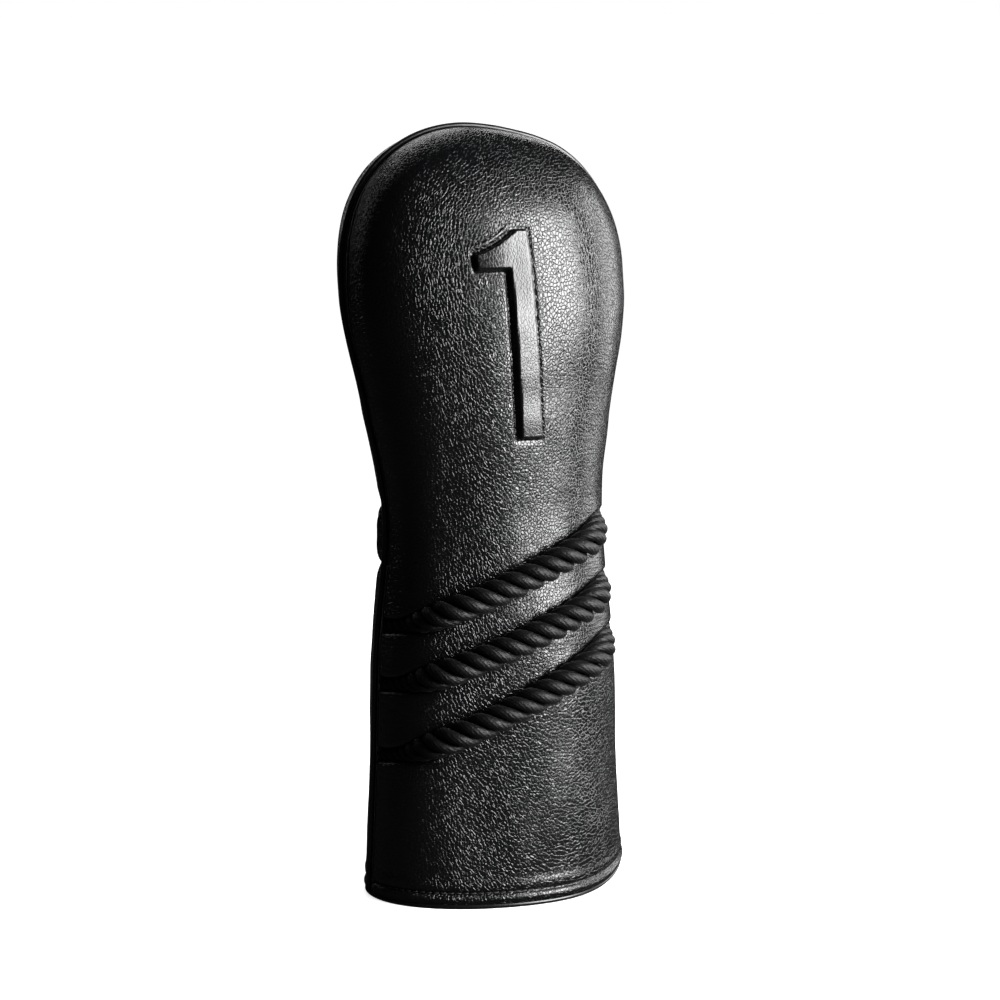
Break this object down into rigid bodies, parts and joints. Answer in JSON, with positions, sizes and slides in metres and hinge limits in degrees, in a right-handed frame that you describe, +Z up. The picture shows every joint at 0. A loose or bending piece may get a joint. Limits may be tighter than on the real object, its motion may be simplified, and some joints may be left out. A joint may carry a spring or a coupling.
{
  "type": "driver head cover",
  "caption": "Sewn leather sock cover for a golf driver head, with a rounded head chamber, gathered waist, open skirt, raised numeral, side piping and slanted rope trim.",
  "frame": {"origin": "centre of the open mouth, on the flat bottom of the hem", "axes": "+Z up from the mouth to the crown, -Y is the front with the numeral, +X is to the right seen from the front"},
  "size_m": [0.1304, 0.0982, 0.3355],
  "materials": {
    "leather": "pebbled, satin",
    "piping_leather": "smooth, semi-gloss",
    "rope": "twisted satin yarn",
    "filler_cord": "matt cotton",
    "foam": "matt closed-cell foam",
    "plush": "short soft pile",
    "elastic": "woven elastic",
    "thread": "waxed thread"
  },
  "bodies": {
    "root": {"front_panel": "leather", "back_panel": "leather", "seam_piping": "piping_leather", "piping_cord": "filler_cord", "numeral_filler": "foam", "rope_upper": "rope", "rope_middle": "rope", "rope_lower": "rope", "front_padding": "foam", "back_head_padding": "foam", "back_skirt_padding": "foam", "front_lining": "plush", "back_lining": "plush", "waist_elastic": "elastic", "waist_stitching": "thread", "hem_binding": "piping_leather", "hem_facing": "piping_leather", "hem_stitching": "thread"}
  },
  "joints": []
}
